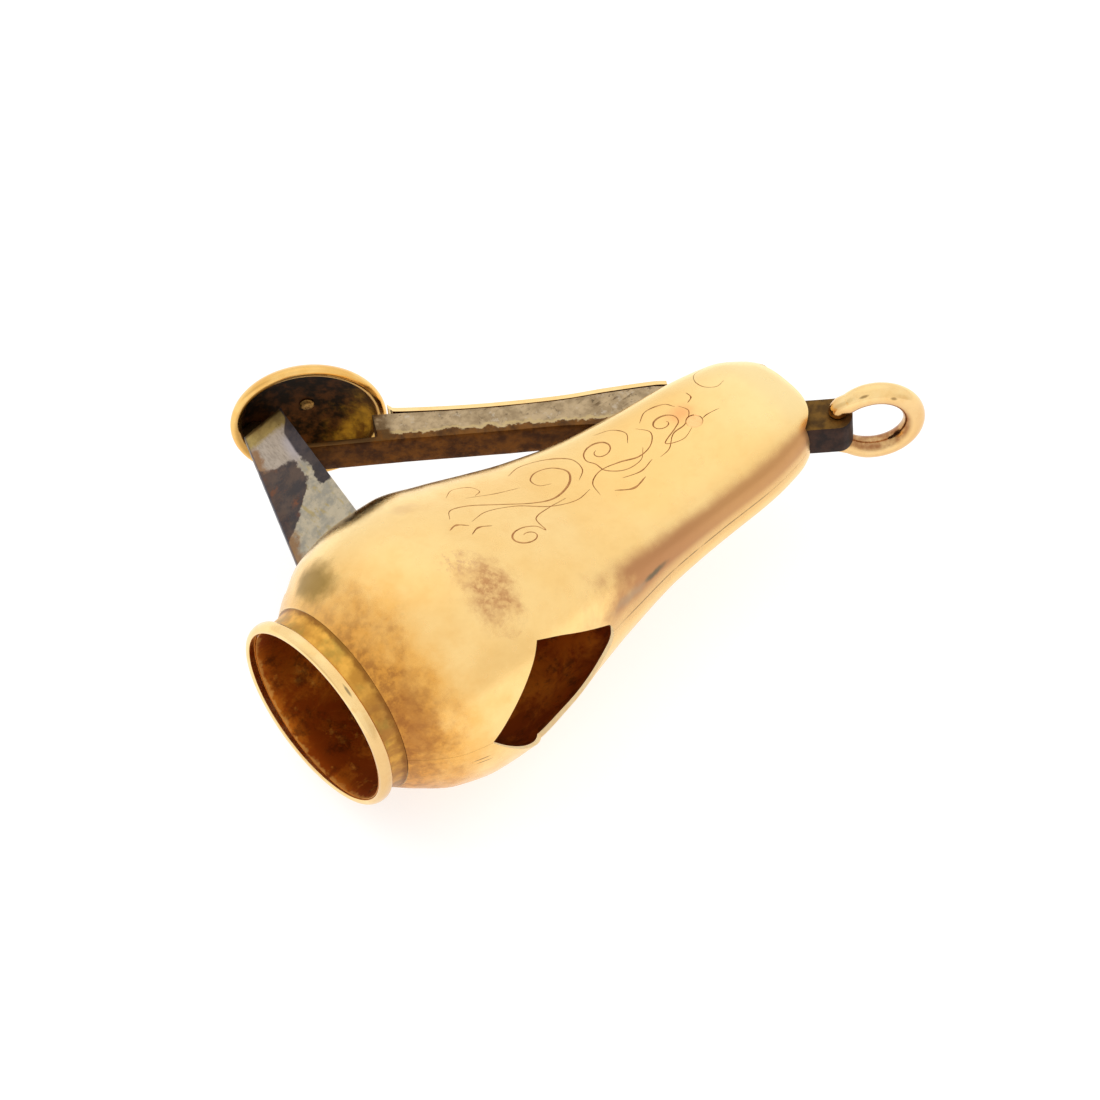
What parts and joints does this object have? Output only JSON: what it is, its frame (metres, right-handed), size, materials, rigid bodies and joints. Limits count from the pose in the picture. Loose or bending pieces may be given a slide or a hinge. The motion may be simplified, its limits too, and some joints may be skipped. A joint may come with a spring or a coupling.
{
  "type": "pocket cigar cutter",
  "caption": "Pocket cigar cutter: hollow gold case with a rimmed mouth, sprung lever with V blade and thumb-piece, clipping port, and a bow ring for a chain.",
  "frame": {"origin": "bottom centre of the bounding box, with the cutter lying on the back of its bulb", "axes": "+X from the mouth to the tail, +Y towards the lever's side, +Z out of the front face"},
  "size_m": [0.0444, 0.0314, 0.0168],
  "materials": {
    "gold_case": "polished, fine hand-worn scratches",
    "gold_rim": "polished bright",
    "gold_collar": "dull, tarnished",
    "gold_inner": "dull, brown tarnish",
    "gold_thumb": "polished outside, tarnished hollow",
    "gold_bow": "polished",
    "copper_pin": "satin, reddish",
    "lever_steel": "worn, brown patina",
    "blade_steel": "worn, stained",
    "spring_steel": "blued, dark"
  },
  "bodies": {
    "case": {"front_shell": "gold_case", "back_shell": "gold_case", "mouth_tube": "gold_inner", "mouth_collar": "gold_collar", "mouth_rim": "gold_rim", "pivot_pin": "copper_pin", "pivot_washer_front": "gold_inner", "pivot_washer_back": "gold_inner", "return_spring": "spring_steel", "spring_rivet": "copper_pin"},
    "lever": {"lever_bar": "lever_steel", "cover_strip": "gold_case", "thumb_piece": "gold_thumb", "thumb_rivet": "gold_inner", "cutting_blade": "blade_steel"},
    "bow": {"bow": "gold_bow"}
  },
  "joints": [
    {"name": "lever_pivot", "type": "hinge", "parent": "case", "child": "lever", "pos_m": [0.00942, -0.00611, 0.00842], "axis": [0, 0, 1], "range_deg": [0, 26], "stiffness_Nm_per_rad": 0.08, "springref_deg": -24.98, "deforming": ["return_spring"]},
    {"name": "bow_swing", "type": "hinge", "parent": "lever", "child": "bow", "pos_m": [0.01743, -0.01068, 0.00842], "axis": [0, 0, 1], "range_deg": [-60, 60]}
  ]
}
